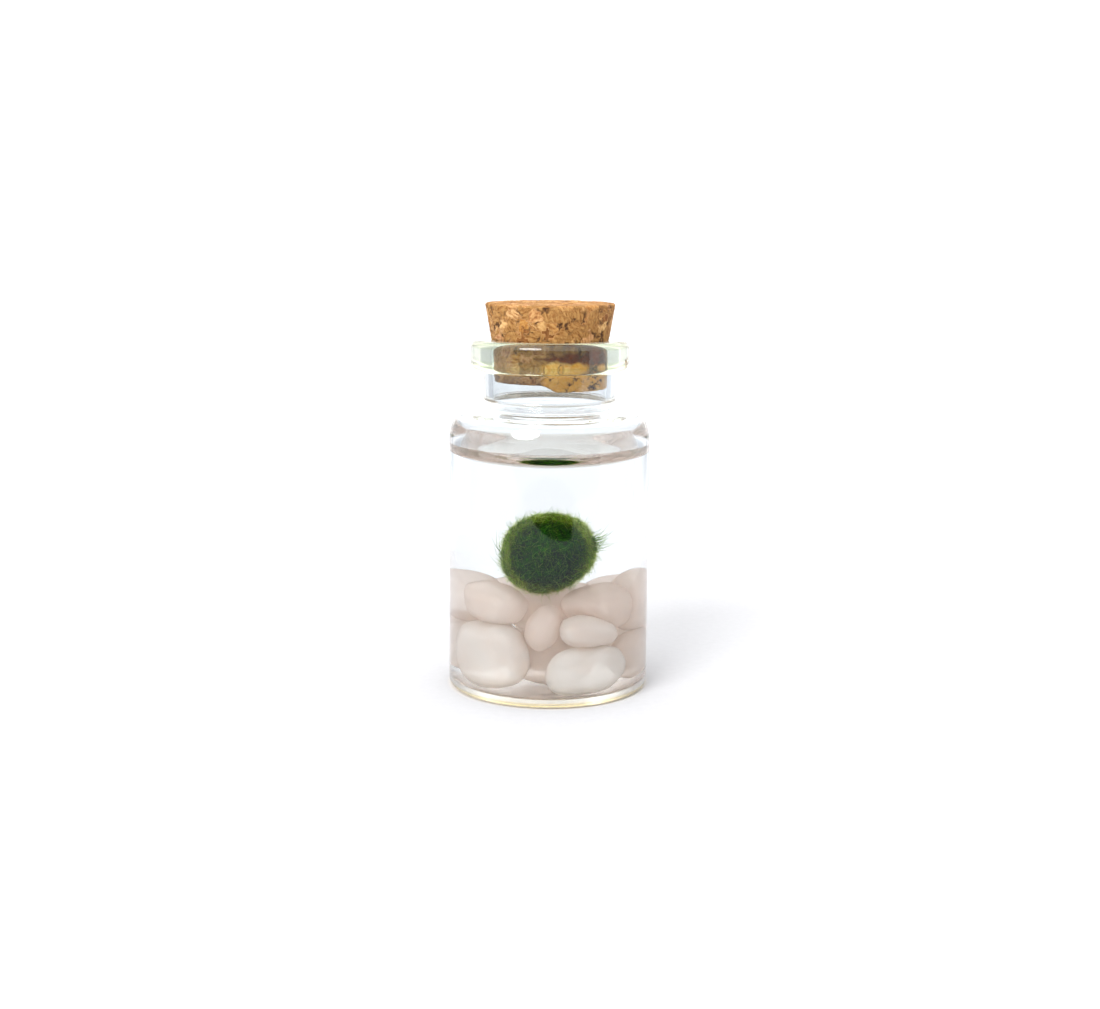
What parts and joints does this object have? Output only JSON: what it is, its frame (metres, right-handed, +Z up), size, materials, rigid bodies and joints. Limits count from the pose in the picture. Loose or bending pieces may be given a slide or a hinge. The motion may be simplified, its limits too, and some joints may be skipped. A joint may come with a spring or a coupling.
{
  "type": "marimo moss ball in a corked glass jar",
  "caption": "Round green moss ball on tumbled rose quartz stones in water, in a small round glass jar with a tapered cork stopper.",
  "frame": {"origin": "centre of the flat base, on the surface that the jar stands on", "axes": "+Z up along the jar's axis to the cork; -Y is the side the moss ball lies against, which faces the camera; +X is right in that view"},
  "size_m": [0.0292, 0.0292, 0.056],
  "materials": {
    "clear_glass": "smooth blown clear glass",
    "pressed_cork": "raw pressed cork granules",
    "clear_water": "still clear water",
    "green_moss": "felted wet green algae threads",
    "rose_quartz": "tumbled milky translucent rose quartz"
  },
  "bodies": {
    "root": {"glass_jar": "clear_glass", "cork_stopper": "pressed_cork", "water": "clear_water", "moss_ball": "green_moss", "stone_front_left": "rose_quartz", "stone_front_right": "rose_quartz", "stone_low_right": "rose_quartz", "stone_core_low": "rose_quartz", "stone_back_left_low": "rose_quartz", "stone_back_low": "rose_quartz", "stone_back_right_low": "rose_quartz", "stone_middle": "rose_quartz", "stone_centre": "rose_quartz", "stone_upper_left": "rose_quartz", "stone_upper_right": "rose_quartz", "stone_right_wall": "rose_quartz", "stone_core_high": "rose_quartz", "stone_back_left_high": "rose_quartz", "stone_back_high": "rose_quartz", "stone_back_right_high": "rose_quartz"}
  },
  "joints": []
}
